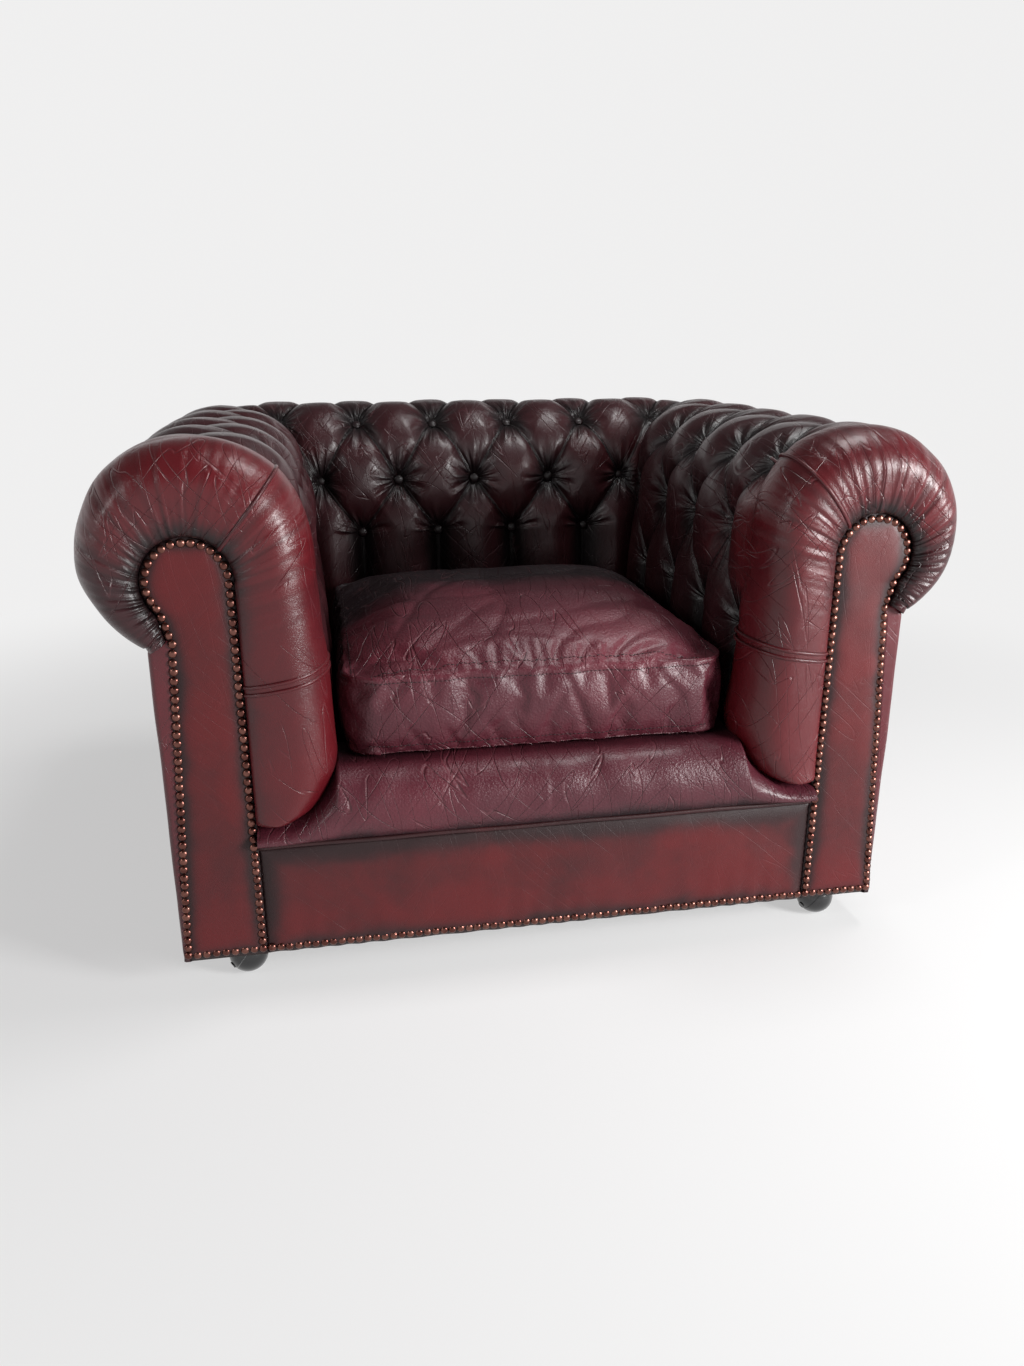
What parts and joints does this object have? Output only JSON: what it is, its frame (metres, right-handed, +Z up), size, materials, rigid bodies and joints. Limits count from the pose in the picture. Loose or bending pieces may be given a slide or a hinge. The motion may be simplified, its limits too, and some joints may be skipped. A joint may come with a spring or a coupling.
{
  "type": "upholstered armchair",
  "caption": "Low club armchair with rolled arms and rolled back at one height, deep-buttoned inside, a loose boxed seat cushion, scroll-shaped nailed facings and ball castors.",
  "frame": {"origin": "on the floor, under the middle of the chair's overall width and depth", "axes": "+Z up; the seat opens towards -Y; +X is to the right of someone looking at the chair's front from outside, that is, looking along +Y"},
  "size_m": [1.034, 0.8407, 0.6707],
  "materials": {
    "beech": "sawn beech, unfinished",
    "hardboard": "lining board",
    "webbing": "woven elastic strap",
    "dust_cloth": "thin black cloth",
    "tufted_leather": "antiqued, semi-gloss, over fibre and foam",
    "facing_leather": "antiqued, semi-gloss, over card",
    "seat_leather": "antiqued, semi-gloss, over foam",
    "panel_leather": "antiqued, semi-gloss, over board",
    "button_leather": "antiqued, semi-gloss, over a button shell",
    "nail_metal": "antiqued dark copper",
    "castor_black": "gloss black",
    "castor_steel": "bright"
  },
  "bodies": {
    "chair": {"front_rail": "beech", "back_rail": "beech", "side_rail_left": "beech", "side_rail_right": "beech", "seat_rail_left": "beech", "seat_rail_right": "beech", "back_seat_rail": "beech", "back_post_left": "beech", "back_post_right": "beech", "castor_blocks": "beech", "front_post_left": "beech", "front_post_right": "beech", "arm_rail_left": "beech", "arm_rail_right": "beech", "back_top_rail": "beech", "arm_board_left": "hardboard", "arm_board_right": "hardboard", "back_board": "hardboard", "seat_webbing": "webbing", "dust_cover": "dust_cloth", "arm_pad_left": "tufted_leather", "arm_pad_right": "tufted_leather", "back_pad": "tufted_leather", "arm_front_left": "tufted_leather", "arm_front_right": "tufted_leather", "facing_left": "facing_leather", "facing_right": "facing_leather", "front_border": "facing_leather", "border_piping": "facing_leather", "arm_outside_left": "panel_leather", "arm_outside_right": "panel_leather", "back_outside": "panel_leather", "seat_lip": "seat_leather", "seat_deck": "seat_leather", "arm_buttons_left": "button_leather", "arm_buttons_right": "button_leather", "back_buttons": "button_leather", "facing_nails_left": "nail_metal", "facing_nails_right": "nail_metal", "border_nails": "nail_metal", "castor_sockets": "castor_steel"},
    "loose_cushion": {"seat_cushion": "seat_leather"},
    "castor_front_left": {"castor_hood_front_left": "castor_black", "castor_axle_front_left": "castor_steel", "castor_stem_front_left": "castor_steel"},
    "ball_front_left": {"castor_wheel_front_left": "castor_black"},
    "castor_front_right": {"castor_hood_front_right": "castor_black", "castor_axle_front_right": "castor_steel", "castor_stem_front_right": "castor_steel"},
    "ball_front_right": {"castor_wheel_front_right": "castor_black"},
    "castor_rear_left": {"castor_hood_rear_left": "castor_black", "castor_axle_rear_left": "castor_steel", "castor_stem_rear_left": "castor_steel"},
    "ball_rear_left": {"castor_wheel_rear_left": "castor_black"},
    "castor_rear_right": {"castor_hood_rear_right": "castor_black", "castor_axle_rear_right": "castor_steel", "castor_stem_rear_right": "castor_steel"},
    "ball_rear_right": {"castor_wheel_rear_right": "castor_black"}
  },
  "joints": [
    {"name": "cushion_lift", "type": "slide", "parent": "chair", "child": "loose_cushion", "axis": [0, 0, 1], "range_m": [0, 0.4]},
    {"name": "castor_swivel_front_left", "type": "hinge", "parent": "chair", "child": "castor_front_left", "pos_m": [-0.392, -0.3565, 0.07], "axis": [0, 0, 1], "continuous": true},
    {"name": "castor_roll_front_left", "type": "hinge", "parent": "castor_front_left", "child": "ball_front_left", "pos_m": [-0.38439, -0.35897, 0.025], "axis": [0.7791, -0.2531, -0.5736], "continuous": true},
    {"name": "castor_swivel_front_right", "type": "hinge", "parent": "chair", "child": "castor_front_right", "pos_m": [0.392, -0.3565, 0.07], "axis": [0, 0, 1], "continuous": true},
    {"name": "castor_roll_front_right", "type": "hinge", "parent": "castor_front_right", "child": "ball_front_right", "pos_m": [0.39893, -0.3605, 0.025], "axis": [0.7094, -0.4096, -0.5736], "continuous": true},
    {"name": "castor_swivel_rear_left", "type": "hinge", "parent": "chair", "child": "castor_rear_left", "pos_m": [-0.392, 0.2932, 0.07], "axis": [0, 0, 1], "continuous": true},
    {"name": "castor_roll_rear_left", "type": "hinge", "parent": "castor_rear_left", "child": "ball_rear_left", "pos_m": [-0.38469, 0.29645, 0.025], "axis": [0.7483, 0.3332, -0.5736], "continuous": true},
    {"name": "castor_swivel_rear_right", "type": "hinge", "parent": "chair", "child": "castor_rear_right", "pos_m": [0.392, 0.2932, 0.07], "axis": [0, 0, 1], "continuous": true},
    {"name": "castor_roll_rear_right", "type": "hinge", "parent": "castor_rear_right", "child": "ball_rear_right", "pos_m": [0.39992, 0.29431, 0.025], "axis": [0.8112, 0.114, -0.5736], "continuous": true}
  ]
}
